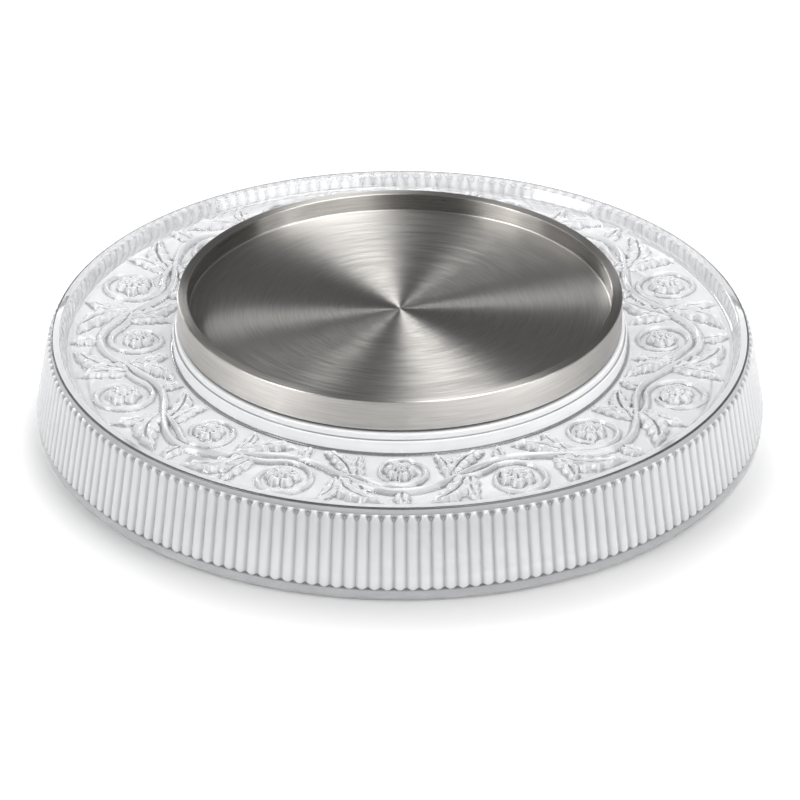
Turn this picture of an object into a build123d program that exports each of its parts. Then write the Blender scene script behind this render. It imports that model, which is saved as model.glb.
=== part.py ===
from build123d import *

import os
from math import atan, cos, degrees, exp, log, pi, radians, sin, sqrt, tan

# Wine bottle coaster: a thick pressed-crystal base with a reeded wall and a carved border, and a turned
# steel dish that stands in a recess at its middle and lifts out for washing.
# Millimetres, +Z up. The origin is at the centre of the underside, on the table top.

# Crystal base: the round body and its wall
BASE_RADIUS = 100.0  # at the lower edge of the wall
BASE_HEIGHT = 25.4  # from the lower edge to the top of the rim
WALL_DRAFT = 9.8  # degrees that the wall leans in
LOWER_EDGE_ROUND = 0.7
RIM_ROUND = 0.3

# Reeds: the half-round bars that stand side by side round the wall
REED_COUNT = 188
REED_PROUD = 0.95  # how far a reed stands out of the wall
REED_GAP = 0.22  # bare wall between two reeds, where they are closest
BAND_HEIGHT = 2.9  # plain band below the reeds
SHOULDER_HEIGHT = 1.9  # plain band between the reeds and the rim

# Top of the base: a flat lip, then a cove down to the ring-shaped field
LIP_WIDTH = 2.4
LIP_EDGE_ROUND = 0.8
COVE_WIDTH = 1.6
COVE_ROUND = 1.8
FIELD_DEPTH = 3.6  # from the rim down to the field

# Boss at the middle that carries the dish, with a narrow ledge round its side
BOSS_RADIUS = 62.3
BOSS_HEIGHT = 6.0  # above the field
BOSS_LEDGE_WIDTH = 0.7
BOSS_LEDGE_DROP = 1.9  # from the top of the boss to the ledge
BOSS_EDGE_ROUND = 0.4
BOSS_FOOT_ROUND = 0.8

# Carved border on the field: a running scroll, with a curl, five leaves and a rosette in each half wave.
# Places in it are (along, across) the strip of one half wave, from the middle of the strip below its
# crest. The strip is wrapped round the field, and every second half wave is turned over.
SCROLL_WAVES = 8
SCROLL_HALF_WAVE = 29.85  # length of the strip of one half wave
SCROLL_REACH = 13.2  # from the middle of the strip to the tips of the leaves
SCROLL_BOSS_MARGIN = 1.6  # from the boss to the nearest tips
SCROLL_COVE_MARGIN = 1.2  # from the foot of the cove to the nearest tips
RELIEF_DRAFT = 15.0  # degrees that the sides of a stem lean in
RELIEF_ROOT = 0.4  # how far a form is sunk into the field
STEM_SWING = 6.0  # to each side of the strip's middle
STEM_WIDTH = 2.4
STEM_HEIGHT = 1.7
CURL_WIDTH = 1.8
CURL_HEIGHT = 1.4
CURL_HEART = (0.0, -4.4)
CURL_BRANCH = (-15.4, -0.5)  # where it leaves the main stem
CURL_START = 122.0  # degrees round the heart, where its half turns begin
CURL_START_REACH = 8.4  # from the heart
CURL_RADII = (7.6, 6.1)  # of its half turns, one after the other
LEAF_EDGE = 0.4  # share of a leaf's half width that its side leans in
LEAF_BASE_HEIGHT = 0.55  # share of the height at its tip
LEAVES = (  # base, tip, half width, sideways bend, height at the tip
    ((13.0, 0.8), (26.8, -11.8), 3.7, -2.6, 2.4),
    ((13.4, 0.2), (10.8, -13.2), 2.6, 1.2, 2.1),
    ((-12.4, 1.6), (-24.2, -12.4), 3.5, 2.4, 2.4),
    ((-10.6, 1.0), (-12.0, -13.2), 2.5, -1.2, 2.0),
    ((0.6, 5.6), (1.6, 13.2), 2.2, 0.6, 2.0),
)
PETAL_COUNT = 6
PETAL_TURN = 11.0  # degrees from the strip's length to the first petal
PETAL_RADIUS = 1.9
PETAL_HEIGHT = 2.0
PETAL_CIRCLE = 2.8  # from the heart to the middle of a petal
BUTTON_RADIUS = 2.7
BUTTON_HEIGHT = 2.8

# Underside: a shallow hollow, and bumpers in it that lift the crystal off the table
HOLLOW_RADIUS = 86.0
HOLLOW_DEPTH = 1.2
BUMPER_COUNT = 4
BUMPER_RADIUS = 5.0
BUMPER_INSET = 7.0  # from the side of the hollow to the nearest point of a bumper
BUMPER_EDGE_ROUND = 0.5
STAND_OFF = 0.6  # between the crystal and the table

# Steel dish
DISH_RADIUS = 60.8
DISH_HEIGHT = 9.0  # what shows above the boss
DISH_WALL = 2.85
DISH_DEPTH = 5.1  # inside, from the rim to the floor
DISH_FLOOR = 2.6  # thickness of the floor
DISH_CORNER_ROUND = 0.6  # inside, where the floor meets the wall
DISH_RIM_BEVEL = 0.4
DISH_LOWER_BEVEL = 0.3

# Spigot: the ring under the dish that drops into the recess of the boss
SPIGOT_RADIUS = 41.6
SPIGOT_WALL = 3.0
SPIGOT_DROP = 3.2  # below the lower edge of the dish
SPIGOT_CLEARANCE = 0.4  # to the side of the recess

# Silicone pad in the recess, under the spigot
PAD_THICKNESS = 1.0
PAD_CLEARANCE = 0.3  # to the side of the recess
PAD_VENT_RADIUS = 6.0
SHADOW_GAP = 0.4  # between the top of the boss and the lower edge of the dish

# Levels and radii that follow
BASE_BOTTOM = STAND_OFF
RIM_TOP = BASE_BOTTOM + BASE_HEIGHT
FIELD_LEVEL = RIM_TOP - FIELD_DEPTH
BOSS_TOP = FIELD_LEVEL + BOSS_HEIGHT
DISH_BOTTOM = BOSS_TOP + SHADOW_GAP
SPIGOT_BOTTOM = DISH_BOTTOM - SPIGOT_DROP
RECESS_FLOOR = SPIGOT_BOTTOM - PAD_THICKNESS
RECESS_RADIUS = SPIGOT_RADIUS + SPIGOT_CLEARANCE
HOLLOW_TOP = BASE_BOTTOM + HOLLOW_DEPTH


def wall_radius(level):
    """Radius of the bare wall, without its reeds, at a height above the table."""
    return BASE_RADIUS - (level - BASE_BOTTOM) * tan(radians(WALL_DRAFT))


def corner_at(outline, place):
    """The corner of an outline that lies nearest to a (radius, level) place."""
    return outline.vertices().sort_by_distance(place)[0]


def turned(outline):
    """Solid of revolution about Z of an outline drawn as (radius, level)."""
    return revolve(Plane.XZ * outline, Axis.Z)


def cove_foot_radius():
    return wall_radius(RIM_TOP) - LIP_WIDTH - COVE_WIDTH


def base_blank():
    """The crystal body before its reeds."""
    lower_edge = (BASE_RADIUS, BASE_BOTTOM)
    rim_edge = (wall_radius(RIM_TOP), RIM_TOP)
    lip_edge = (rim_edge[0] - LIP_WIDTH, RIM_TOP)
    cove_foot = (cove_foot_radius(), FIELD_LEVEL)
    boss_foot = (BOSS_RADIUS, FIELD_LEVEL)
    boss_edge = (BOSS_RADIUS - BOSS_LEDGE_WIDTH, BOSS_TOP)
    ledge_level = BOSS_TOP - BOSS_LEDGE_DROP
    outline = make_face(
        Polyline(
            (0, HOLLOW_TOP),
            (HOLLOW_RADIUS, HOLLOW_TOP),
            (HOLLOW_RADIUS, BASE_BOTTOM),
            lower_edge,
            rim_edge,
            lip_edge,
            cove_foot,
            boss_foot,
            (BOSS_RADIUS, ledge_level),
            (boss_edge[0], ledge_level),
            boss_edge,
            (RECESS_RADIUS, BOSS_TOP),
            (RECESS_RADIUS, RECESS_FLOOR),
            (0, RECESS_FLOOR),
            close=True,
        )
    )
    outline = fillet(corner_at(outline, lower_edge), LOWER_EDGE_ROUND)
    outline = fillet(corner_at(outline, rim_edge), RIM_ROUND)
    outline = fillet(corner_at(outline, lip_edge), LIP_EDGE_ROUND)
    outline = fillet(corner_at(outline, cove_foot), COVE_ROUND)
    outline = fillet(corner_at(outline, boss_foot), BOSS_FOOT_ROUND)
    outline = fillet(corner_at(outline, boss_edge), BOSS_EDGE_ROUND)
    return turned(outline)


def reed():
    """One reed at azimuth 0: a round-ended bar, sunk into the leaning wall."""
    low = BASE_BOTTOM + BAND_HEIGHT
    high = RIM_TOP - SHOULDER_HEIGHT
    middle = (low + high) / 2
    lean = radians(WALL_DRAFT)
    width = 2 * pi * wall_radius(high) / REED_COUNT - REED_GAP
    radius = (width**2 / 4 + REED_PROUD**2) / (2 * REED_PROUD)
    sunk = radius - REED_PROUD
    straight = (high - low) / cos(lean) - width
    bar = Cylinder(radius, straight)
    for end in (-1, 1):
        bar += Pos(0, 0, end * straight / 2) * Sphere(radius)
    centre = (wall_radius(middle) - sunk * cos(lean), 0, middle - sunk * sin(lean))
    return Location(centre, (0, -WALL_DRAFT, 0)) * bar


SCROLL_INNER = BOSS_RADIUS + SCROLL_BOSS_MARGIN
SCROLL_OUTER = cove_foot_radius() - SCROLL_COVE_MARGIN
SCROLL_RADIUS = sqrt(SCROLL_INNER * SCROLL_OUTER)
SCROLL_STRETCH = SCROLL_RADIUS * log(SCROLL_OUTER / SCROLL_INNER) / (2 * SCROLL_REACH)


def on_field(place, side):
    """Place of the strip on the field, in the half wave at azimuth 0. side is -1 where it is turned over."""
    along, across = place
    azimuth = pi / SCROLL_WAVES * along / SCROLL_HALF_WAVE
    radius = SCROLL_RADIUS * exp(side * SCROLL_STRETCH * across / SCROLL_RADIUS)
    return Vector(radius * cos(azimuth), radius * sin(azimuth), FIELD_LEVEL)


def stem(arc, width, height):
    """Bar with leaning sides and a round crown, along an arc on the field."""
    lean = radians(RELIEF_DRAFT)
    foot = width / 2
    crown = (foot - height * tan(lean)) / (1 / cos(lean) - tan(lean))
    apex = (0, foot / tan(lean))
    root = foot + RELIEF_ROOT * tan(lean)
    section = make_face(Polyline((-root, -RELIEF_ROOT), (root, -RELIEF_ROOT), apex, close=True))
    section = fillet(corner_at(section, apex), crown)
    hub = Vector(arc.arc_center)
    arm = (arc @ 0) - hub
    turn = degrees(arc.length / arm.length)
    if arm.cross(arc % 0).Z < 0:
        turn = -turn
    across = Plane(origin=arc @ 0, x_dir=arm, z_dir=arm.cross(Vector(0, 0, 1)))
    return revolve(across * section, Axis(hub, (0, 0, 1)), turn)


def main_stem(side):
    start = on_field((-SCROLL_HALF_WAVE / 2, 0), side)
    crest = on_field((0, STEM_SWING), side)
    end = on_field((SCROLL_HALF_WAVE / 2, 0), side)
    return stem(ThreePointArc(start, crest, end), STEM_WIDTH, STEM_HEIGHT)


def heart_ray(angle, side):
    """Direction on the field at an angle from the strip's length, as long as one millimetre of the strip."""
    size = SCROLL_STRETCH * exp(side * SCROLL_STRETCH * CURL_HEART[1] / SCROLL_RADIUS)
    return Vector(side * sin(radians(angle)), cos(radians(angle)), 0) * size


def curl(side):
    """Branch of the main stem that winds round the heart in half turns."""
    point = on_field(CURL_HEART, side) + heart_ray(CURL_START, side) * CURL_START_REACH
    arcs = [TangentArc(point, on_field(CURL_BRANCH, side), tangent=heart_ray(CURL_START + 90, side))]
    for number, radius in enumerate(CURL_RADII):
        angle = CURL_START - 180 * number
        hub = point - heart_ray(angle, side) * radius
        crest = hub + heart_ray(angle - 90, side) * radius
        end = hub + heart_ray(angle - 180, side) * radius
        arcs.append(ThreePointArc(point, crest, end))
        point = end
    return [stem(arc, CURL_WIDTH, CURL_HEIGHT) for arc in arcs]


def leaf(base, tip, half_width, bend, height, side):
    """Pointed leaf with leaning sides, whose flat top climbs from its base to its tip."""
    base_place, tip_place = Vector(*base), Vector(*tip)
    across = Vector(base_place.Y - tip_place.Y, tip_place.X - base_place.X).normalized()
    middle = (base_place + tip_place) / 2
    ends = on_field(base, side), on_field(tip, side)
    edges = []
    for way in (side, -side):
        belly = middle + across * (bend + way * half_width)
        edges.append(ThreePointArc(ends[0], on_field((belly.X, belly.Y), side), ends[1]))
    outline = Pos(0, 0, -RELIEF_ROOT) * make_face(edges)
    rise = height + RELIEF_ROOT
    lean = degrees(atan(LEAF_EDGE * SCROLL_STRETCH * half_width / rise))
    body = extrude(outline, rise, dir=(0, 0, 1), taper=lean)
    low = ends[0] + Vector(0, 0, LEAF_BASE_HEIGHT * height)
    slope = ends[1] + Vector(0, 0, height) - low
    top = Plane(origin=low, x_dir=slope, z_dir=slope.cross(Vector(-slope.Y, slope.X, 0)))
    return split(body, top, keep=Keep.BOTTOM)


def cap(centre, radius, height):
    """Ball sunk into the field, so that a cap of it stands out."""
    ball = (radius**2 + height**2) / (2 * height)
    return Pos(*(centre + Vector(0, 0, height - ball))) * Sphere(ball)


def rosette(side):
    heart = on_field(CURL_HEART, side)
    size = heart_ray(0, side).length
    forms = [cap(heart, BUTTON_RADIUS * size, BUTTON_HEIGHT)]
    for number in range(PETAL_COUNT):
        angle = PETAL_TURN + 360 * number / PETAL_COUNT
        middle = heart + heart_ray(angle, side) * PETAL_CIRCLE
        forms.append(cap(middle, PETAL_RADIUS * size, PETAL_HEIGHT))
    return forms


def scroll():
    """The forms of the carved border, all round the field."""
    forms = []
    for number in range(2 * SCROLL_WAVES):
        side = -1 if number % 2 else 1
        half_wave = [main_stem(side), *curl(side), *rosette(side)]
        half_wave += [leaf(*sizes, side) for sizes in LEAVES]
        forms += [Rot(0, 0, 180 * number / SCROLL_WAVES) * form for form in half_wave]
    return forms


def crystal_base():
    bar = reed()
    reeds = [Rot(0, 0, 360 * turn / REED_COUNT) * bar for turn in range(REED_COUNT)]
    return base_blank() + [*reeds, *scroll()]


def bottle_dish():
    inside = DISH_RADIUS - DISH_WALL
    rim = DISH_BOTTOM + DISH_HEIGHT
    floor = rim - DISH_DEPTH
    underside = floor - DISH_FLOOR
    spigot_bore = SPIGOT_RADIUS - SPIGOT_WALL
    outline = make_face(
        Polyline(
            (0, floor),
            (inside, floor),
            (inside, rim),
            (DISH_RADIUS, rim),
            (DISH_RADIUS, DISH_BOTTOM),
            (inside, DISH_BOTTOM),
            (inside, underside),
            (SPIGOT_RADIUS, underside),
            (SPIGOT_RADIUS, SPIGOT_BOTTOM),
            (spigot_bore, SPIGOT_BOTTOM),
            (spigot_bore, underside),
            (0, underside),
            close=True,
        )
    )
    outline = fillet(corner_at(outline, (inside, floor)), DISH_CORNER_ROUND)
    outline = chamfer(corner_at(outline, (inside, rim)), DISH_RIM_BEVEL)
    outline = chamfer(corner_at(outline, (DISH_RADIUS, rim)), DISH_RIM_BEVEL)
    outline = chamfer(corner_at(outline, (DISH_RADIUS, DISH_BOTTOM)), DISH_LOWER_BEVEL)
    outline = chamfer(corner_at(outline, (SPIGOT_RADIUS, SPIGOT_BOTTOM)), DISH_LOWER_BEVEL)
    return turned(outline)


def seat_pad():
    outer = RECESS_RADIUS - PAD_CLEARANCE
    ring = Cylinder(outer, PAD_THICKNESS) - Cylinder(PAD_VENT_RADIUS, PAD_THICKNESS)
    return Pos(0, 0, RECESS_FLOOR + PAD_THICKNESS / 2) * ring


def base_bumper():
    """One bumper at azimuth 0, with its rounded edge on the table."""
    outline = make_face(
        Polyline(
            (0, 0),
            (BUMPER_RADIUS, 0),
            (BUMPER_RADIUS, HOLLOW_TOP),
            (0, HOLLOW_TOP),
            close=True,
        )
    )
    outline = fillet(corner_at(outline, (BUMPER_RADIUS, 0)), BUMPER_EDGE_ROUND)
    circle = HOLLOW_RADIUS - BUMPER_INSET - BUMPER_RADIUS
    return Pos(circle, 0, 0) * turned(outline)


parts = {
    "crystal_base": crystal_base(),
    "bottle_dish": bottle_dish(),
    "seat_pad": seat_pad(),
}
bumper = base_bumper()
for number in range(BUMPER_COUNT):
    azimuth = 360 * (number + 0.5) / BUMPER_COUNT
    parts[f"base_bumper_{number + 1}"] = Rot(0, 0, azimuth) * bumper

os.makedirs("parts", exist_ok=True)
for name, part in parts.items():
    export_step(part, f"parts/{name}.step")
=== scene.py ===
import math

import bpy
import numpy as np
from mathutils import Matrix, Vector


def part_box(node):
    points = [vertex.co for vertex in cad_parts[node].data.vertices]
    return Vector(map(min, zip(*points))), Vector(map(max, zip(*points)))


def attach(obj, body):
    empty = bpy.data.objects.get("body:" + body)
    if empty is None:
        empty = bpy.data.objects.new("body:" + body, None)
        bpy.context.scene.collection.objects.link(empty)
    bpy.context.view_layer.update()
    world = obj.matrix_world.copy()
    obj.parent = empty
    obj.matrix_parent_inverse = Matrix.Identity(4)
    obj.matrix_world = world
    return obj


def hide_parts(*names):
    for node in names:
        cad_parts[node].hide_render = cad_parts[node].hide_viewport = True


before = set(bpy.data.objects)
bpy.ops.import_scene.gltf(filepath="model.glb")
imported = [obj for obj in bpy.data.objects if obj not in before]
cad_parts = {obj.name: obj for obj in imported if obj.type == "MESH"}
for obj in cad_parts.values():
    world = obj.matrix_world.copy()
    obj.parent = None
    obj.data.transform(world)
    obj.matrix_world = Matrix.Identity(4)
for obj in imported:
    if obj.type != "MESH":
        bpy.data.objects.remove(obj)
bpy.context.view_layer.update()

# The object's lengths are millimetres, as in the CAD model. Meshes are scaled to metres when they are made.
MM = 0.001


def box_mm(node):
    """Lowest and highest corners of a CAD node, in millimetres."""
    low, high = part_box(node)
    return np.array(low) / MM, np.array(high) / MM


CRYSTAL_LOW, CRYSTAL_HIGH = box_mm("crystal_base")
DISH_LOW, DISH_HIGH = box_mm("bottle_dish")
PAD_LOW = box_mm("seat_pad")[0]

# Crystal base, with a line of painted shade round its rim that reaches a little way down the wall and onto
# the lip, in place of the dark reflection there
BASE_BOTTOM = CRYSTAL_LOW[2]
BASE_RADIUS = 100.0
BASE_HEIGHT = 25.4
WALL_DRAFT = math.radians(9.8)
LOWER_EDGE_ROUND = 0.7
RIM_TOP = BASE_BOTTOM + BASE_HEIGHT
RIM_ROUND = 0.4
RIM_LINE_HEIGHT = 0.45
RIM_LINE_WIDTH = 0.5

# Reeds on its wall, between a plain band and a plain shoulder. A fullness is an exponent, and LEAST_WAVE
# keeps the round of the feet finite in the valleys.
BAND_HEIGHT = 2.9
SHOULDER_HEIGHT = 1.9
REED_COUNT = 188
REED_PITCH = 2 * math.pi / REED_COUNT
REED_PROUD = 0.85
REED_LOW = BASE_BOTTOM + BAND_HEIGHT
REED_HIGH = RIM_TOP - SHOULDER_HEIGHT
REED_FOOT = 0.9
REED_POINT = 2.1
REED_FULLNESS = 0.45
POINT_FULLNESS = 4
LEAST_WAVE = 0.01

# Notches between the reeds' points: width and side as shares of the way from valley to crest, and the share
# of the point's height over which a notch runs out
NOTCH_WIDTH = 0.6
NOTCH_SIDE = 0.2
NOTCH_RUNOUT = 0.25

# Lip, cove and field on its top
LIP_WIDTH = 2.4
LIP_EDGE_ROUND = 0.8
COVE_WIDTH = 1.6
COVE_ROUND = 1.8
FIELD_DEPTH = 3.6
FIELD_MARGIN = 1.5
FIELD_LEVEL = RIM_TOP - FIELD_DEPTH

# Boss and recess at its middle, and the hollow underneath
BOSS_TOP = CRYSTAL_HIGH[2]
BOSS_RADIUS = 62.3
BOSS_LEDGE_WIDTH = 0.7
BOSS_LEDGE_DEPTH = 1.9
BOSS_LEDGE_LEVEL = BOSS_TOP - BOSS_LEDGE_DEPTH
BOSS_LEDGE_ROUND = 0.2
BOSS_EDGE_ROUND = 0.4
BOSS_FOOT_ROUND = 0.8
RECESS_FLOOR = PAD_LOW[2]
RECESS_RADIUS = 42.0
RECESS_ROUND = 0.3
HOLLOW_RADIUS = 86.0
HOLLOW_DEPTH = 1.2
HOLLOW_TOP = BASE_BOTTOM + HOLLOW_DEPTH
HOLLOW_TOP_ROUND = 0.5
HOLLOW_EDGE_ROUND = 0.3

# Steel dish, over a thin shadow gap
DISH_RIM = DISH_HIGH[2]
DISH_RADIUS = DISH_HIGH[0]
DISH_WALL = 2.85
DISH_DEPTH = 5.1
DISH_FLOOR_THICKNESS = 2.6
SHADOW_GAP = 0.4
DISH_BOTTOM = BOSS_TOP + SHADOW_GAP
DISH_INSIDE = DISH_RADIUS - DISH_WALL
DISH_FLOOR = DISH_RIM - DISH_DEPTH
DISH_UNDERSIDE = DISH_FLOOR - DISH_FLOOR_THICKNESS
DISH_CORNER_ROUND = 0.6
DISH_RIM_ROUND = 0.35
DISH_FOOT_ROUND = 0.45
DISH_FOOT_INSET = 1.0
DISH_UNDER_ROUND = 0.3
SPIGOT_BOTTOM = DISH_LOW[2]
SPIGOT_RADIUS = 41.6
SPIGOT_BORE = 38.6
SEAT_INSET = 0.1
SEAT_RADIUS = DISH_RADIUS - SEAT_INSET

# Mesh density. The columns of a reed are shares of its pitch, from the valley before it.
REED_COLUMNS = np.array([0.0, 0.07, 0.14, 0.22, 0.35, 0.5, 0.65, 0.78, 0.86, 0.93])
COLUMNS = REED_COUNT * len(REED_COLUMNS)
FOOT_ROWS = 7
WALL_ROWS = 5
POINT_ROWS = 13
FIELD_SPACING = 0.3
DISH_COLUMNS = 384
ARC_STEP = math.radians(15)
SHARP_ANGLE = math.radians(35)

# How near counts as on a surface, for points of an outline and for the middles of faces
ON_SURFACE = 0.01
FACE_MARGIN = 0.05
WALL_MARGIN = 0.1
HOLLOW_WALL_REACH = 0.4
UNDERSIDE_INSET = 1.0


def ramp(x, length):
    """Rises from 0 to 1 over a length, and stays level outside it."""
    return np.clip(x / length, 0.0, 1.0)


def smooth_ramp(x, length):
    """A ramp that starts and ends gently."""
    share = ramp(x, length)
    return share * share * (3.0 - 2.0 * share)


def dome(inside, edge):
    """0 at an outline, 1 from one edge width inside it, with a rounded rise."""
    return np.sin(0.5 * np.pi * ramp(inside, edge))


def bell(x, middle, width):
    """1 at the middle, fading out alike on both sides."""
    return np.exp(-(((x - middle) / width) ** 2))


def rounded(corners):
    """Points of an outline whose (radius, level, round) corners are rounded off by arcs."""
    points = [corners[0][:2]]
    for before, corner, after in zip(corners[:-2], corners[1:-1], corners[2:]):
        place = np.array(corner[:2])
        if not corner[2]:
            points.append(tuple(place))
            continue
        way_in = np.array(before[:2]) - place
        way_out = np.array(after[:2]) - place
        way_in /= np.linalg.norm(way_in)
        way_out /= np.linalg.norm(way_out)
        half = math.acos(np.clip(way_in @ way_out, -1, 1)) / 2
        middle = way_in + way_out
        centre = place + middle / np.linalg.norm(middle) * corner[2] / math.sin(half)
        tangent = corner[2] / math.tan(half)
        first = place + way_in * tangent - centre
        last = place + way_out * tangent - centre
        turn = math.pi - 2 * half
        steps = max(2, math.ceil(turn / ARC_STEP))
        for step in range(steps + 1):
            share = step / steps
            arm = (math.sin((1 - share) * turn) * first + math.sin(share * turn) * last) / math.sin(turn)
            points.append(tuple(centre + arm))
    points.append(corners[-1][:2])
    return points


def between(start, end, spacing):
    """Points from start to end, without the end itself, about one spacing apart."""
    start, end = np.array(start), np.array(end)
    count = max(1, round(np.linalg.norm(end - start) / spacing))
    return [tuple(start + (end - start) * step / count) for step in range(count)]


def lathe(name, outline, angle, shape=None):
    """Mesh turned about Z from (radius, level) points, which start and end on the axis.
    shape may move the (row, column, xyz) grid of the other points, and gives each of them its painted shade."""
    outline = np.array(outline)
    rows = outline[1:-1]
    columns = len(angle)
    grid = np.stack(
        [
            rows[:, :1] * np.cos(angle),
            rows[:, :1] * np.sin(angle),
            np.repeat(rows[:, 1:], columns, axis=1),
        ],
        axis=-1,
    )
    painted_shade = np.ones(grid.shape[:2])
    if shape:
        grid, painted_shade = shape(grid, rows, angle)
    index = np.arange(len(rows) * columns).reshape(len(rows), columns)
    lower, upper = index[:-1], index[1:]
    quads = np.stack([lower, np.roll(lower, -1, axis=1), np.roll(upper, -1, axis=1), upper], axis=-1)
    faces = quads.reshape(-1, 4).tolist()
    poles = [[0, 0, outline[0][1]], [0, 0, outline[-1][1]]]
    points = np.concatenate([grid.reshape(-1, 3), poles])
    painted_shade = np.append(painted_shade, [1.0, 1.0])
    first, last = index[0], index[-1]
    faces += [[len(points) - 2, b, a] for a, b in zip(first, np.roll(first, -1))]
    faces += [[len(points) - 1, a, b] for a, b in zip(last, np.roll(last, -1))]
    mesh = bpy.data.meshes.new(name)
    mesh.from_pydata((points * MM).tolist(), [], faces)
    mesh.polygons.foreach_set("use_smooth", [True] * len(mesh.polygons))
    mesh.set_sharp_from_angle(angle=SHARP_ANGLE)
    mesh.attributes.new("painted_shade", "FLOAT", "POINT").data.foreach_set("value", painted_shade.astype(np.float32))
    piece = bpy.data.objects.new(name, mesh)
    bpy.context.collection.objects.link(piece)
    return piece


# Relief on the field: a running scroll of leaves and rosettes, in a strip that wraps round the field.
# s runs round the strip and t across it, in millimetres at the strip's middle radius. The strip is made of
# half waves, of which a few are worked out and then repeated.
SCROLL_UNITS = 16
REPEATED_UNITS = 4
SCROLL_RADIUS = 76.0
SCROLL_STEP = 2 * math.pi * SCROLL_RADIUS / SCROLL_UNITS
RELIEF_SCALE = 1.3

# Main stem, which reaches a share of a half wave to each side of its crest
STEM_SWING = 6.0
STEM_HALF_WIDTH = 1.2
STEM_HEIGHT = 1.3
STEM_REACH = 0.75
STEM_POINTS = 61

# Branch that leaves it and curls round the heart of its half wave
HEART = (0.0, -4.4)
CURL_BRANCH = (-15.4, -0.5)
CURL_KNEE = 0.52
CURL_START = math.radians(122)
CURL_START_REACH = 8.4
CURL_RADII = (7.6, 6.1)
CURL_HALF_WIDTHS = (1.05, 0.60)
CURL_HEIGHT = 1.15
TURN_POINTS = 36
BRANCH_POINTS = 16

# Leaves: base, tip, half width, bend, height and number of lobes
LEAVES = (
    ((13.0, 0.8), (26.8, -11.8), 3.7, -2.6, 1.9, 5),
    ((13.4, 0.2), (10.8, -13.2), 2.6, 1.2, 1.7, 4),
    ((-12.4, 1.6), (-24.2, -12.4), 3.5, 2.4, 1.9, 5),
    ((-10.6, 1.0), (-12.0, -13.2), 2.5, -1.2, 1.6, 4),
    ((0.6, 5.6), (1.6, 13.2), 2.2, 0.6, 1.6, 3),
)

# Form of a leaf: its fullness is an exponent, and the rest are shares of its half width, length or height
LEAF_FULLNESS = 0.75
LEAF_EDGE = 0.4
LEAF_BASE_HEIGHT = 0.55
LOBE_DEPTH = 0.20
LOBE_SLANT = 0.35
RIB_DEPTH = 0.40
RIB_FADE = 0.25
VEIN_DEPTH = 0.22
VEIN_START = 0.5

# Half width of a leaf's rib, and distance from its edge at which the veins are deepest
RIB_HALF_WIDTH = 0.45
VEIN_MARGIN = 0.8

# Rosettes. A ring of petals has a reach, a turn and its heights at the middle and at the edge.
ROSETTE_RADIUS = 4.7
ROSETTE_HEIGHT = 2.1
PETALS = 6
PETAL_TURN = math.radians(11)
PETAL_RINGS = ((1.0, 0.0, 0.45, 0.75), (0.62, np.pi, 0.70, 0.98))
PETAL_WAIST = 0.82
PETAL_EDGE = 0.28
PETAL_GAP_DEPTH = 0.24
PETAL_GAP_WIDTH = 0.10
PETAL_FOLD_DEPTH = 0.07
PETAL_FOLD_WIDTH = 0.03
PETAL_MARGIN = 0.6
BUTTON_REACH = 0.27
BUTTON_SIDE_HEIGHT = 0.70
BUTTON_CROWN = 0.38


def stem(s, t, path, half_widths, height):
    """Half-round stem along a path, thinning from its first to its last half width."""
    total = np.zeros_like(s)
    for a, b, wa, wb in zip(path[:-1], path[1:], half_widths[:-1], half_widths[1:]):
        run = b - a
        along = np.clip(((s - a[0]) * run[0] + (t - a[1]) * run[1]) / (run @ run), 0.0, 1.0)
        away = np.hypot(s - a[0] - along * run[0], t - a[1] - along * run[1])
        width = wa + (wb - wa) * along
        total = np.maximum(total, height * width / half_widths[0] * dome(width - away, width))
    return total


def leaf(s, t, base, tip, half_width, bend, height, lobes):
    """Pointed leaf with a sunk midrib, side veins and lobed edges, bent sideways between base and tip."""
    axis = np.subtract(tip, base)
    length = np.hypot(*axis)
    axis = axis / length
    along = ((s - base[0]) * axis[0] + (t - base[1]) * axis[1]) / length
    u = np.clip(along, 0.0, 1.0)
    across = (t - base[1]) * axis[0] - (s - base[0]) * axis[1] - bend * 4 * u * (1 - u)
    aside = np.abs(across)
    lobe = 0.5 + 0.5 * np.cos(2 * np.pi * (lobes * u - LOBE_SLANT * aside / half_width))
    blade = half_width * np.sin(np.pi * u**LEAF_FULLNESS) ** LEAF_FULLNESS
    outline = blade * (1 - LOBE_DEPTH + LOBE_DEPTH * lobe)
    inside = np.where((along > 0) & (along < 1), outline - aside, -1.0)
    body = dome(inside, LEAF_EDGE * half_width) * (LEAF_BASE_HEIGHT + (1 - LEAF_BASE_HEIGHT) * u)
    rib = RIB_DEPTH * bell(across, 0, RIB_HALF_WIDTH) * smooth_ramp(1 - u, RIB_FADE)
    veins = VEIN_DEPTH * (1 - lobe) * smooth_ramp(aside, VEIN_START * half_width)
    veins = veins * smooth_ramp(inside, VEIN_MARGIN)
    return np.where(inside > 0, height * np.maximum(body - rib - veins, 0.0), 0.0)


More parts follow.
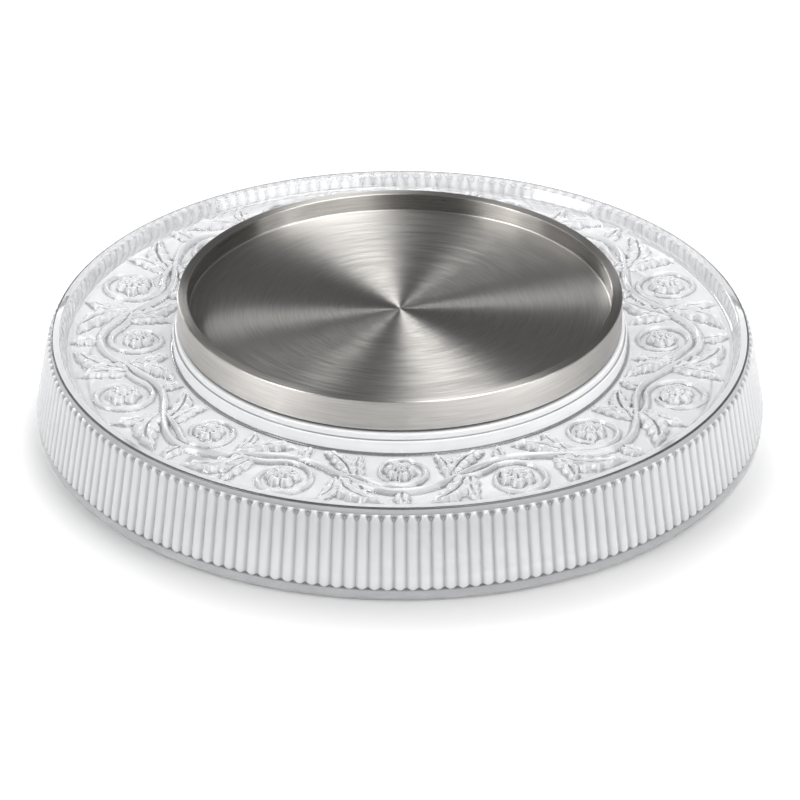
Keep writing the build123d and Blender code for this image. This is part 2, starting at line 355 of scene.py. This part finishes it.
def rosette(s, t, centre, radius, petals, height):
    """Flower with rings of cupped petals round a button."""
    x = s - centre[0]
    y = t - centre[1]
    away = np.hypot(x, y)
    angle = np.arctan2(y, x) - PETAL_TURN
    total = np.zeros_like(s)
    for reach, turn, low, high in PETAL_RINGS:
        fan = np.cos(petals * angle + turn)
        swell = np.sqrt(np.clip(0.5 + 0.5 * fan, 0, 1))
        outline = radius * reach * (PETAL_WAIST + (1 - PETAL_WAIST) * swell)
        inside = outline - away
        cup = low + (high - low) * smooth_ramp(away, outline)
        gaps = PETAL_GAP_DEPTH * np.exp(-(1 + fan) / PETAL_GAP_WIDTH)
        folds = PETAL_FOLD_DEPTH * np.exp(-(1 - fan) / PETAL_FOLD_WIDTH)
        petal = dome(inside, PETAL_EDGE * radius) * cup - (gaps + folds) * smooth_ramp(inside, PETAL_MARGIN)
        total = np.maximum(total, np.where(inside > 0, height * petal, 0.0))
    button = BUTTON_REACH * radius
    crown = BUTTON_SIDE_HEIGHT + BUTTON_CROWN * np.sqrt(np.clip(1 - (away / button) ** 2, 0, 1))
    return np.maximum(total, np.where(away < button, height * crown, 0.0))


def curl_path():
    """Path of the branch that leaves the main stem and winds round the heart in half turns."""
    point = CURL_START_REACH * np.exp(1j * CURL_START)
    turns = []
    for number, radius in enumerate(CURL_RADII):
        angle = CURL_START - np.pi * number
        hub = point - radius * np.exp(1j * angle)
        turns.append(hub + radius * np.exp(1j * (angle - np.linspace(0, np.pi, TURN_POINTS)[:-1])))
        point = hub - radius * np.exp(1j * angle)
    # From flat millimetres round the heart to the strip, which is bent round the field
    around = SCROLL_RADIUS * np.log(1 + 1j * np.conj(np.concatenate(turns)) / SCROLL_RADIUS)
    winding = np.stack([HEART[0] + around.imag, HEART[1] + around.real], axis=1)
    start, run = winding[0], winding[0] - CURL_BRANCH
    knee = start - CURL_KNEE * np.hypot(*run) * np.array([np.sin(CURL_START), -np.cos(CURL_START)])
    share = np.linspace(0, 1, BRANCH_POINTS)[:-1, None]
    branch = (1 - share) ** 2 * CURL_BRANCH + 2 * share * (1 - share) * knee + share**2 * start
    return np.concatenate([branch, winding])


def scroll_unit(s, t):
    """Height of one half wave of the scroll, with its crest at s = 0 and its curl below the crest."""
    wave = np.linspace(-STEM_REACH, STEM_REACH, STEM_POINTS) * SCROLL_STEP
    main = np.stack([wave, STEM_SWING * np.cos(np.pi * wave / SCROLL_STEP)], axis=1)
    curl = curl_path()
    forms = [
        stem(s, t, main, np.full(len(main), STEM_HALF_WIDTH), STEM_HEIGHT),
        stem(s, t, curl, np.linspace(*CURL_HALF_WIDTHS, len(curl)), CURL_HEIGHT),
        rosette(s, t, HEART, ROSETTE_RADIUS, PETALS, ROSETTE_HEIGHT),
    ]
    forms += [leaf(s, t, *values) for values in LEAVES]
    return RELIEF_SCALE * np.maximum.reduce(forms)


def scroll_height(radius, angle):
    """Height of the relief over the field, at a grid of radii and angles within the half waves worked out."""
    s = angle * SCROLL_RADIUS
    t = SCROLL_RADIUS * np.log(radius / SCROLL_RADIUS)
    total = np.zeros_like(s)
    for unit in range(-1, REPEATED_UNITS + 2):
        side = -1 if unit % 2 else 1
        total = np.maximum(total, scroll_unit(s - unit * SCROLL_STEP, side * t))
    return total


def wall_radius(level):
    return BASE_RADIUS - (level - BASE_BOTTOM) * math.tan(WALL_DRAFT)


RIM_EDGE = wall_radius(RIM_TOP)
LIP_EDGE = RIM_EDGE - LIP_WIDTH
COVE_FOOT = LIP_EDGE - COVE_WIDTH
FIELD_OUTER = COVE_FOOT - FIELD_MARGIN
FIELD_INNER = BOSS_RADIUS + BOSS_FOOT_ROUND

# Painted shade, as shares of the crystal's colour: between two reeds, at a reed's low end, in a notch,
# between two feet and in the creases of the boss. The valley between two reeds ends where the wave reaches
# VALLEY_WAVE.
VALLEY_TONE = 0.65
LOW_TONE = 0.93
NOTCH_TONE = 0.8
FOOT_TONE = 0.1
CREASE_TONE = 0.4
VALLEY_WAVE = 0.5

# Reach of the painted shade in the boss's creases, from the inner corner of its ledge and from its foot
LEDGE_CREASE = 0.25
FOOT_CREASE = 0.75 * BOSS_FOOT_ROUND

# Heights over which painted shade fades out: below the reeds' feet, above their points and above the ledge
FOOT_FADE = 0.45
POINT_FADE = 0.12
LEDGE_FADE = 0.4

# Shade of a notch, in the same shares as the notch: its ground, the line along its side and the spot in it
GROUND_START = 0.2
GROUND_SIDE = -0.1
LINE_SHADE = 0.6
LINE_PLACE = 0.02
LINE_WIDTH = 0.15
LINE_FADE_IN = 1 / 3
LINE_FADE_OUT = 0.1
SPOT_SHADE = 0.8
SPOT_PLACE = 0.7
SPOT_HEIGHT = 0.2
SPOT_WIDTH = 0.3


def crystal_outline():
    """Outline of the crystal body, from the middle of its underside round to the middle of its recess."""
    foot_end = REED_LOW + REED_FOOT
    point_start = REED_HIGH - REED_POINT
    reed_levels = np.concatenate(
        [
            np.linspace(REED_LOW, foot_end, FOOT_ROWS),
            np.linspace(foot_end, point_start, WALL_ROWS)[1:],
            np.linspace(point_start, REED_HIGH, POINT_ROWS)[1:],
        ]
    )
    ledge_corner = BOSS_RADIUS - BOSS_LEDGE_WIDTH
    underside = rounded(
        [
            (0, HOLLOW_TOP, 0),
            (HOLLOW_RADIUS, HOLLOW_TOP, HOLLOW_TOP_ROUND),
            (HOLLOW_RADIUS, BASE_BOTTOM, HOLLOW_EDGE_ROUND),
            (BASE_RADIUS, BASE_BOTTOM, LOWER_EDGE_ROUND),
            (wall_radius(REED_LOW - FOOT_FADE), REED_LOW - FOOT_FADE, 0),
            (wall_radius(REED_LOW), REED_LOW, 0),
        ]
    )
    wall = [(wall_radius(level), level) for level in reed_levels]
    rim = rounded(
        [
            (wall_radius(REED_HIGH), REED_HIGH, 0),
            (wall_radius(REED_HIGH + POINT_FADE), REED_HIGH + POINT_FADE, 0),
            (wall_radius(RIM_TOP - RIM_LINE_HEIGHT), RIM_TOP - RIM_LINE_HEIGHT, 0),
            (RIM_EDGE, RIM_TOP, RIM_ROUND),
            (RIM_EDGE - RIM_LINE_WIDTH, RIM_TOP, 0),
            (LIP_EDGE, RIM_TOP, LIP_EDGE_ROUND),
            (COVE_FOOT, FIELD_LEVEL, COVE_ROUND),
            (FIELD_OUTER, FIELD_LEVEL, 0),
        ]
    )
    field = between((FIELD_OUTER, FIELD_LEVEL), (FIELD_INNER, FIELD_LEVEL), FIELD_SPACING)
    boss = rounded(
        [
            (FIELD_OUTER, FIELD_LEVEL, 0),
            (BOSS_RADIUS, FIELD_LEVEL, BOSS_FOOT_ROUND),
            (BOSS_RADIUS, BOSS_LEDGE_LEVEL, BOSS_LEDGE_ROUND),
            (ledge_corner, BOSS_LEDGE_LEVEL, BOSS_LEDGE_ROUND),
            (ledge_corner, BOSS_LEDGE_LEVEL + LEDGE_FADE, 0),
            (ledge_corner, BOSS_TOP, BOSS_EDGE_ROUND),
            (SEAT_RADIUS, BOSS_TOP, 0),
            (RECESS_RADIUS, BOSS_TOP, RECESS_ROUND),
            (RECESS_RADIUS, RECESS_FLOOR, RECESS_ROUND),
            (0, RECESS_FLOOR, 0),
        ]
    )
    return underside[:-1] + wall + rim[1:-1] + field + boss[1:]


def reeds(level, angle):
    """Height and painted shade of the reeds, at points of the wall. They have round feet and notches between
    their points, and shade is painted in the valleys, in and beside the notches, between the feet and towards
    their low ends."""
    # As shares: wave and crest rise from valley to crest, into_foot and into_point rise to a reed's ends,
    # and beside_notch is 0 along the side of a notch
    wave = 0.5 + 0.5 * np.cos(REED_COUNT * angle)
    crest = 1 - np.abs((angle / REED_PITCH + 0.5) % 1 - 0.5) * 2
    into_foot = ramp(REED_LOW + REED_FOOT - level, REED_FOOT)
    into_point = ramp(level - REED_HIGH + REED_POINT, REED_POINT)
    beside_notch = crest - NOTCH_WIDTH * into_point

    foot = np.sqrt(np.clip(1 - into_foot**2 / np.maximum(wave, LEAST_WAVE), 0, 1))
    notch = 1 - ramp(into_point, NOTCH_RUNOUT) * (1 - ramp(beside_notch, NOTCH_SIDE))
    point = np.sqrt(1 - into_point**POINT_FULLNESS)
    height = REED_PROUD * wave**REED_FULLNESS * foot * notch * point

    # Painted shade: darker in the valleys and towards the reeds' low ends, in the notches, along their sides
    # and in a spot within them, and between the feet
    climb = ramp(level - REED_LOW, REED_HIGH - REED_LOW)
    valley = VALLEY_TONE + (1 - VALLEY_TONE) * ramp(wave, VALLEY_WAVE)
    body = valley * (LOW_TONE + (1 - LOW_TONE) * climb)
    ground = (into_point > GROUND_START) & (beside_notch < GROUND_SIDE)
    line = bell(beside_notch, LINE_PLACE, LINE_WIDTH)
    line = line * np.minimum(ramp(into_point, LINE_FADE_IN), ramp(1 - into_point, LINE_FADE_OUT))
    spot = bell(crest, 0, SPOT_WIDTH) * bell(into_point, SPOT_PLACE, SPOT_HEIGHT)
    painted_shade = np.where(ground, NOTCH_TONE, body) * (1 - LINE_SHADE * line) * (1 - SPOT_SHADE * spot)
    return height, np.where(into_foot**2 > wave, FOOT_TONE, painted_shade)


def crystal_shape(grid, rows, angle):
    """Raises the reeds out of the wall and the scroll out of the field, and paints shade on the reeds and
    into the boss's creases.
    """
    radius, level = rows[:, :1], rows[:, 1:]
    on_wall = (radius > FIELD_OUTER) & (level >= REED_LOW) & (level <= REED_HIGH)
    on_wall &= np.abs(radius - wall_radius(level)) < ON_SURFACE
    height, painted_shade = reeds(level, angle)
    proud = np.where(on_wall, height, 0.0)
    grid[..., 0] += proud * np.cos(angle) * math.cos(WALL_DRAFT)
    grid[..., 1] += proud * np.sin(angle) * math.cos(WALL_DRAFT)
    grid[..., 2] += proud * math.sin(WALL_DRAFT)

    on_field = (np.abs(rows[:, 1] - FIELD_LEVEL) < ON_SURFACE) & (rows[:, 0] <= FIELD_OUTER)
    worked_out = angle[: REPEATED_UNITS * COLUMNS // SCROLL_UNITS]
    relief = scroll_height(*np.broadcast_arrays(rows[on_field, :1], worked_out))
    grid[on_field, :, 2] += np.tile(relief, (1, SCROLL_UNITS // REPEATED_UNITS))

    # Shade painted into the boss's creases, at the inner corner of its ledge and round its foot
    ledge = np.hypot(radius - BOSS_RADIUS + BOSS_LEDGE_WIDTH, level - BOSS_LEDGE_LEVEL) < LEDGE_CREASE
    boss_foot = np.hypot(radius - BOSS_RADIUS, level - FIELD_LEVEL) < FOOT_CREASE
    return grid, np.where(ledge | boss_foot, CREASE_TONE, np.where(on_wall, painted_shade, 1.0))


# Crystal finishes: colour, painted shade in the creases as a share of the colour, lowest and highest
# roughness, and transmission
CRYSTAL_COLOUR = (0.955, 0.958, 0.97)
POLISHED_COLOUR = (0.90, 0.915, 0.925)
RELIEF_COLOUR = (0.94, 0.943, 0.955)
# The shoulder's grey is painted shade, in place of the dark seen in the polished glass there
SHOULDER_PAINTED_SHADE = (0.36, 0.362, 0.365)
# The rim line's near black is painted shade, in place of the dark reflection along the rim
PAINTED_RIM_LINE = (0.05, 0.051, 0.052)
# The seat ring is matt crystal, and its grey is painted shade that deepens the shadow in the gap under the
# dish
SEAT_COLOUR_AND_SHADE = (0.62, 0.625, 0.63)
CRYSTAL_FINISHES = {
    "crystal_polished": (POLISHED_COLOUR, 0.3, 0.02, 0.05, 1.0),
    "crystal_relief": (RELIEF_COLOUR, 0.03, 0.04, 0.08, 0.70),
    "crystal_reeds": (CRYSTAL_COLOUR, 0.95, 0.06, 0.11, 0.58),
    "crystal_collar": (CRYSTAL_COLOUR, 0.2, 0.05, 0.11, 0.25),
    "crystal_frosted": (CRYSTAL_COLOUR, 1.0, 0.60, 0.70, 1.0),
    "crystal_shoulder": (SHOULDER_PAINTED_SHADE, 1.0, 0.02, 0.05, 0.3),
    "crystal_lip": (CRYSTAL_COLOUR, 0.3, 0.06, 0.10, 0.88),
    "crystal_edge": (PAINTED_RIM_LINE, 1.0, 0.15, 0.25, 0.5),
    "crystal_seat": (SEAT_COLOUR_AND_SHADE, 1.0, 0.50, 0.60, 0.0),
}
CRYSTAL_IOR = 1.60
# Pointiness at which a crease takes its full painted shade, and at which a surface counts as flat and takes
# none
CREASE_POINTINESS = 0.42
FLAT_POINTINESS = 0.50

# Steel finishes: darkest and lightest streak, lowest and highest roughness, and anisotropy. The bored wall's
# streaks are darkened by painted shade, and the dish's foot edge is painted near black as the shadow of the
# gap under the dish.
STEEL_COLOUR = (0.60, 0.58, 0.555)
STEEL_FINISHES = {
    "brushed_steel": (0.84, 1.06, 0.34, 0.44, 0.95),
    "bored_steel": (0.46, 0.62, 0.26, 0.34, 0.95),
    "turned_steel": (0.88, 1.08, 0.42, 0.54, 0.7),
    "edge_steel": (0.08, 0.13, 0.30, 0.40, 0.7),
}
STREAK_TURNS = 4.5
STREAK_FINENESS = 3000.0
ANISOTROPY_TURN = 0.25

# Soft pieces
SILICONE_COLOUR = (0.80, 0.81, 0.81, 1)
SILICONE_ROUGHNESS = 0.55
RUBBER_COLOUR = (0.93, 0.94, 0.95, 1)
RUBBER_ROUGHNESS = 0.35
SOFT_TRANSMISSION = 0.3
SOFT_ROUGHNESS_SPREAD = 0.08

# Noises, as scale and detail, and the part of a noise's range that is used
CRYSTAL_CLOUDS = (180, 3)
SOFT_CLOUDS = (900, 2)
GRAIN = (1500, 2)
STREAK_TINT = (1.0, 3)
STREAK_GLOSS = (0.6, 2)
STREAK_GRAIN = (1.4, 2)
NOISE_LOW = 0.3
NOISE_HIGH = 0.7

# Bumps, as strength and depth in metres
CRYSTAL_BUMP = (0.1, 0.00005)
STEEL_BUMP = (0.1, 0.00001)
SOFT_BUMP = (0.2, 0.00005)


def set_inputs(tree, node, inputs):
    """Fills a node's inputs. Another node's output is linked, and a plain value is written on the socket."""
    for key, value in inputs.items():
        if isinstance(value, bpy.types.NodeSocket):
            tree.links.new(value, node.inputs[key])
        else:
            node.inputs[key].default_value = value


def add_node(tree, kind, inputs=None, operation=None):
    """New node of the given kind, with its operation where it has one, and with its inputs filled."""
    node = tree.nodes.new(kind)
    if operation:
        node.operation = operation
    set_inputs(tree, node, inputs or {})
    return node


def principled(name):
    """New material. Returns it, its node tree and its Principled shader."""
    material = bpy.data.materials.new(name)
    material.use_nodes = True
    tree = material.node_tree
    return material, tree, tree.nodes["Principled BSDF"]


def object_place(tree):
    return add_node(tree, "ShaderNodeTexCoord").outputs["Object"]


def maths(tree, operation, *values):
    """Result of an operation on numbers."""
    return add_node(tree, "ShaderNodeMath", dict(enumerate(values)), operation).outputs["Value"]


def scaled(tree, vector, scale):
    """Colour or vector times a number."""
    return add_node(tree, "ShaderNodeVectorMath", {0: vector, "Scale": scale}, "SCALE").outputs["Vector"]


def map_range(tree, value, from_low, from_high, to_low, to_high, interpolation="LINEAR"):
    """Value mapped from one range to another, and held at its ends."""
    source = {"Value": value, "From Min": from_low, "From Max": from_high}
    node = add_node(tree, "ShaderNodeMapRange", {**source, "To Min": to_low, "To Max": to_high})
    node.interpolation_type = interpolation
    return node.outputs["Result"]


def noise(tree, place, scale, detail, low, high):
    """Noise of the given scale, mapped from low to high."""
    texture = add_node(tree, "ShaderNodeTexNoise", {"Vector": place, "Scale": scale, "Detail": detail})
    return map_range(tree, texture.outputs["Fac"], NOISE_LOW, NOISE_HIGH, low, high)


def bump(tree, height, strength, depth):
    """Normal of a bumpy surface."""
    node = add_node(tree, "ShaderNodeBump", {"Height": height, "Strength": strength, "Distance": depth})
    return node.outputs["Normal"]


def crystal_material(name, colour, painted_crease_shade, roughness_low, roughness_high, transmission):
    """Crystal whose colour carries the mesh's painted shade and a shade painted into its creases, as dark as
    painted_crease_shade, as a share of its colour.
    """
    material, tree, shader = principled(name)
    place = object_place(tree)
    # The colour is darkened by shade painted into the creases, where pointiness is low, and by the mesh's
    # painted shade
    pointiness = add_node(tree, "ShaderNodeNewGeometry").outputs["Pointiness"]
    crease = map_range(tree, pointiness, CREASE_POINTINESS, FLAT_POINTINESS, painted_crease_shade, 1.0)
    painted_shade = add_node(tree, "ShaderNodeAttribute")
    painted_shade.attribute_name = "painted_shade"
    shade = maths(tree, "MULTIPLY", crease, painted_shade.outputs["Fac"])
    looks = {
        "Base Color": scaled(tree, colour, shade),
        "IOR": CRYSTAL_IOR,
        "Transmission Weight": transmission,
        "Roughness": noise(tree, place, *CRYSTAL_CLOUDS, roughness_low, roughness_high),
        "Normal": bump(tree, noise(tree, place, *GRAIN, 0, 1), *CRYSTAL_BUMP),
    }
    set_inputs(tree, shader, looks)
    return material


def lathe_place(tree):
    """Coordinates that are fine across the lathe's cut (radius and level) and long along it (way round)."""
    parts = add_node(tree, "ShaderNodeSeparateXYZ", {"Vector": object_place(tree)}).outputs
    flat = add_node(tree, "ShaderNodeCombineXYZ", {"X": parts["X"], "Y": parts["Y"]}).outputs["Vector"]
    radius = add_node(tree, "ShaderNodeVectorMath", {0: flat}, "LENGTH").outputs["Value"]
    way = add_node(tree, "ShaderNodeVectorMath", {0: flat}, "NORMALIZE").outputs["Vector"]
    across = maths(tree, "ADD", radius, parts["Z"])
    fine = add_node(tree, "ShaderNodeCombineXYZ", {"Z": across}).outputs["Vector"]
    terms = {0: way, 1: (STREAK_TURNS, STREAK_TURNS, 0), 2: scaled(tree, fine, STREAK_FINENESS)}
    return add_node(tree, "ShaderNodeVectorMath", terms, "MULTIPLY_ADD").outputs["Vector"]


def steel_material(name, colour_low, colour_high, roughness_low, roughness_high, anisotropy):
    """Turned steel, with fine streaks along the lathe's cut."""
    material, tree, shader = principled(name)
    place = lathe_place(tree)
    tangent = add_node(tree, "ShaderNodeTangent")
    tangent.direction_type = "RADIAL"
    tangent.axis = "Z"
    looks = {
        "Base Color": scaled(tree, STEEL_COLOUR, noise(tree, place, *STREAK_TINT, colour_low, colour_high)),
        "Metallic": 1.0,
        "Anisotropic": anisotropy,
        "Anisotropic Rotation": ANISOTROPY_TURN,
        "Roughness": noise(tree, place, *STREAK_GLOSS, roughness_low, roughness_high),
        "Tangent": tangent.outputs["Tangent"],
        "Normal": bump(tree, noise(tree, place, *STREAK_GRAIN, 0, 1), *STEEL_BUMP),
    }
    set_inputs(tree, shader, looks)
    return material


def soft_material(name, colour, roughness):
    """Slightly translucent silicone or rubber."""
    material, tree, shader = principled(name)
    place = object_place(tree)
    roughnesses = (roughness - SOFT_ROUGHNESS_SPREAD, roughness + SOFT_ROUGHNESS_SPREAD)
    looks = {
        "Base Color": colour,
        "Transmission Weight": SOFT_TRANSMISSION,
        "Roughness": noise(tree, place, *SOFT_CLOUDS, *roughnesses),
        "Normal": bump(tree, noise(tree, place, *GRAIN, 0, 1), *SOFT_BUMP),
    }
    set_inputs(tree, shader, looks)
    return material


def face_places(piece):
    """Distance from the axis and level of the middle of each face."""
    middles = np.empty(len(piece.data.polygons) * 3)
    piece.data.polygons.foreach_get("center", middles)
    x, y, z = middles.reshape(-1, 3).T / MM
    return np.hypot(x, y), z


def give_finishes(piece, make_material, finishes, areas):
    """Adds a material for each finish. A face takes the first area that holds it, or the first finish."""
    for name, values in finishes.items():
        piece.data.materials.append(make_material(name, *values))
    names = list(finishes)
    chosen = np.select(list(areas.values()), [names.index(name) for name in areas], 0)
    piece.data.polygons.foreach_set("material_index", chosen.astype(np.int32))


def crystal_base():
    valleys = np.arange(REED_COUNT)[:, None] - 0.5
    angle = (REED_PITCH * (valleys + REED_COLUMNS)).ravel()
    piece = lathe("crystal_body", crystal_outline(), angle, shape=crystal_shape)
    away, level = face_places(piece)
    outside = away > RIM_EDGE - RIM_LINE_WIDTH
    top = (level > FIELD_LEVEL - FACE_MARGIN) & (away < RIM_EDGE - RIM_LINE_WIDTH)
    boss = top & (away <= BOSS_RADIUS) & (away > RECESS_RADIUS)
    hollow_wall = (level < HOLLOW_TOP - FACE_MARGIN) & (np.abs(away - HOLLOW_RADIUS) < HOLLOW_WALL_REACH)
    areas = {
        "crystal_lip": top & (away > COVE_FOOT),
        "crystal_relief": top & (away > BOSS_RADIUS),
        "crystal_reeds": outside & (level > REED_LOW) & (level < REED_HIGH),
        # Matt seat ring under the dish, greyed with painted shade
        "crystal_seat": boss & (away < SEAT_RADIUS),
        "crystal_collar": boss | hollow_wall,
        "crystal_frosted": (level < HOLLOW_TOP + FACE_MARGIN) & (away < BASE_RADIUS - UNDERSIDE_INSET),
        # Painted shade: a near-black line round the rim
        "crystal_edge": outside & (level > RIM_TOP - RIM_LINE_HEIGHT),
        # Painted shade: the shoulder's grey
        "crystal_shoulder": outside & (level > REED_HIGH),
    }
    give_finishes(piece, crystal_material, CRYSTAL_FINISHES, areas)
    return piece


def bottle_dish():
    outline = rounded(
        [
            (0, DISH_UNDERSIDE, 0),
            (SPIGOT_BORE, DISH_UNDERSIDE, DISH_UNDER_ROUND),
            (SPIGOT_BORE, SPIGOT_BOTTOM, DISH_UNDER_ROUND),
            (SPIGOT_RADIUS, SPIGOT_BOTTOM, DISH_UNDER_ROUND),
            (SPIGOT_RADIUS, DISH_UNDERSIDE, DISH_UNDER_ROUND),
            (DISH_INSIDE, DISH_UNDERSIDE, DISH_UNDER_ROUND),
            (DISH_INSIDE, DISH_BOTTOM, DISH_UNDER_ROUND),
            (DISH_RADIUS, DISH_BOTTOM, DISH_FOOT_ROUND),
            (DISH_RADIUS, DISH_RIM, DISH_RIM_ROUND),
            (DISH_INSIDE, DISH_RIM, DISH_RIM_ROUND),
            (DISH_INSIDE, DISH_FLOOR, DISH_CORNER_ROUND),
            (0, DISH_FLOOR, 0),
        ]
    )
    angle = 2 * np.pi * np.arange(DISH_COLUMNS) / DISH_COLUMNS
    piece = lathe("turned_dish", outline, angle)
    away, level = face_places(piece)
    areas = {
        # Painted shade: the bored inner wall is darker steel
        "bored_steel": (np.abs(away - DISH_INSIDE) < WALL_MARGIN) & (level > DISH_FLOOR),
        # Painted shadow: the foot edge over the gap is near black
        "edge_steel": (away > DISH_INSIDE + DISH_FOOT_INSET) & (level < DISH_BOTTOM + DISH_FOOT_ROUND),
        "turned_steel": (away > DISH_RADIUS - WALL_MARGIN) & (level < DISH_RIM - DISH_RIM_ROUND),
    }
    give_finishes(piece, steel_material, STEEL_FINISHES, areas)
    return piece


crystal = crystal_base()
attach(crystal, "base")
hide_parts("crystal_base")

dish = bottle_dish()
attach(dish, "dish")
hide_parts("bottle_dish")

silicone = soft_material("silicone", SILICONE_COLOUR, SILICONE_ROUGHNESS)
clear_rubber = soft_material("clear_rubber", RUBBER_COLOUR, RUBBER_ROUGHNESS)
for name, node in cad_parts.items():
    if name == "seat_pad":
        node.data.materials[0] = silicone
    elif name.startswith("base_bumper"):
        node.data.materials[0] = clear_rubber


# Stage, in metres: a pale floor, soft boxes, the room and the camera
WHITE = (1, 1, 1, 1)
FLOOR_SIZE = 6.0
FLOOR_COLOUR = (0.60, 0.60, 0.60, 1)
FLOOR_ROUGHNESS = 0.9

# Shadow patch of the floor: its squeeze, its middle, and the distances at which the glow round it sets in
# and is full
SHADOW_SQUEEZE = (0.88, 1, 1)
SHADOW_MIDDLE = (0, -0.03, 0)
SHADOW_INNER = 0.072
SHADOW_OUTER = 0.105
NEAR_GLOW = 0.62

# Away from the lamps, the floor glows more, so that it stays white
FAR_START = 0.3
FAR_END = 1.5
FAR_GLOW = 0.38

# Glow of the shadow patch seen through the crystal, and how it changes with the near glow
CRYSTAL_GLOW = 0.74
CRYSTAL_GLOW_SLOPE = -0.45

# Room, and how much brighter it is in reflections
ROOM_COLOUR = (0.96, 0.98, 1.0, 1)
ROOM_LEVEL = 0.07
ROOM_REFLECTED = 0.07

# Soft boxes: place, target, width, height and radiance
SOFTBOXES = {
    "key": ((0.32, 0.08, 1.25), (0.32, 0.08, 0), 0.56, 0.75, 5.5),
    "front": ((0.75, -0.85, 0.80), (0, 0, 0), 1.2, 1.0, 4.0),
    "left": ((-1.0, -0.60, 0.75), (0, 0, 0), 0.5, 0.7, 7.5),
    "side": ((-1.1, 0.20, 0.80), (0, 0, 0), 1.0, 0.7, 1.6),
    "low_left": ((-1.15, -0.45, 0.22), (0, 0, 0), 0.5, 0.3, 6.0),
    "low_right": ((1.15, -0.45, 0.22), (0, 0, 0), 0.5, 0.3, 6.0),
    "strip": ((-0.75, 1.25, 0.42), (0, 0, 0.03), 0.07, 0.8, 22.0),
}

# Camera. Its focal length is in pixels of the image, and its sensor is in millimetres.
CAMERA_ELEVATION = math.radians(29.75)
CAMERA_DISTANCE = 1.4668
CAMERA_LIFT = 0.00282
FOCAL_PIXELS = 5302
IMAGE_PIXELS = 800
SENSOR_WIDTH = 36.0


def floor_material():
    """Pale floor that keeps the object's shadow, and glows white round it to the camera and in reflections.
    Seen through the crystal, it glows most in the shadow."""
    material, tree, shader = principled("pale_floor")
    squeezed = {0: object_place(tree), 1: SHADOW_SQUEEZE}
    place = add_node(tree, "ShaderNodeVectorMath", squeezed, "MULTIPLY").outputs["Vector"]
    away = add_node(tree, "ShaderNodeVectorMath", {0: place, 1: SHADOW_MIDDLE}, "DISTANCE").outputs["Value"]
    near = map_range(tree, away, SHADOW_INNER, SHADOW_OUTER, 0.0, NEAR_GLOW, "SMOOTHSTEP")
    far = map_range(tree, away, FAR_START, FAR_END, 0.0, FAR_GLOW)
    rays = add_node(tree, "ShaderNodeLightPath").outputs
    seen = maths(tree, "MAXIMUM", rays["Is Camera Ray"], rays["Is Glossy Ray"])
    direct = maths(tree, "MULTIPLY", seen, maths(tree, "ADD", near, far))
    through = maths(tree, "MULTIPLY_ADD", near, CRYSTAL_GLOW_SLOPE, CRYSTAL_GLOW)
    looks = {
        "Base Color": FLOOR_COLOUR,
        "Roughness": FLOOR_ROUGHNESS,
        "Specular IOR Level": 0.0,
        "Emission Color": WHITE,
        "Emission Strength": maths(tree, "MULTIPLY_ADD", rays["Is Transmission Ray"], through, direct),
    }
    set_inputs(tree, shader, looks)
    return material


def softbox(name, place, target, width, height, radiance):
    """Rectangular lamp that faces its target."""
    lamp = bpy.data.lights.new(name, "AREA")
    lamp.shape = "RECTANGLE"
    lamp.size = width
    lamp.size_y = height
    lamp.energy = radiance * math.pi * width * height
    box = bpy.data.objects.new(name, lamp)
    box.location = place
    box.rotation_euler = (Vector(target) - Vector(place)).to_track_quat("-Z", "Y").to_euler()
    bpy.context.collection.objects.link(box)


def studio_world():
    """Dim room, brighter in reflections, which the camera sees as plain white beyond the floor."""
    world = bpy.data.worlds.new("studio")
    world.use_nodes = True
    tree = world.node_tree
    rays = add_node(tree, "ShaderNodeLightPath").outputs
    level = maths(tree, "MULTIPLY_ADD", rays["Is Glossy Ray"], ROOM_REFLECTED, ROOM_LEVEL)
    room = tree.nodes["Background"]
    set_inputs(tree, room, {"Color": ROOM_COLOUR, "Strength": level})
    white = add_node(tree, "ShaderNodeBackground", {"Color": WHITE})
    sides = {1: room.outputs["Background"], 2: white.outputs["Background"]}
    mix = add_node(tree, "ShaderNodeMixShader", {"Fac": rays["Is Camera Ray"], **sides})
    set_inputs(tree, tree.nodes["World Output"], {"Surface": mix.outputs["Shader"]})
    return world


def studio_camera():
    """Camera in front of the object, looking down at it."""
    data = bpy.data.cameras.new("camera")
    data.sensor_width = SENSOR_WIDTH
    data.lens = FOCAL_PIXELS / IMAGE_PIXELS * SENSOR_WIDTH
    camera = bpy.data.objects.new("camera", data)
    centre = Vector((0, 0, BASE_BOTTOM * MM))
    back = Vector((0, -math.cos(CAMERA_ELEVATION), math.sin(CAMERA_ELEVATION)))
    up = Vector((0, math.sin(CAMERA_ELEVATION), math.cos(CAMERA_ELEVATION)))
    camera.location = centre + back * CAMERA_DISTANCE
    aim = centre + up * CAMERA_LIFT
    camera.rotation_euler = (aim - camera.location).to_track_quat("-Z", "Y").to_euler()
    bpy.context.collection.objects.link(camera)
    return camera


bpy.ops.mesh.primitive_plane_add(size=FLOOR_SIZE)
floor = bpy.context.object
floor.name = "floor"
floor.data.materials.append(floor_material())

for name, values in SOFTBOXES.items():
    softbox(name, *values)
bpy.context.scene.world = studio_world()
bpy.context.scene.camera = studio_camera()
bpy.context.scene.view_settings.view_transform = "Standard"
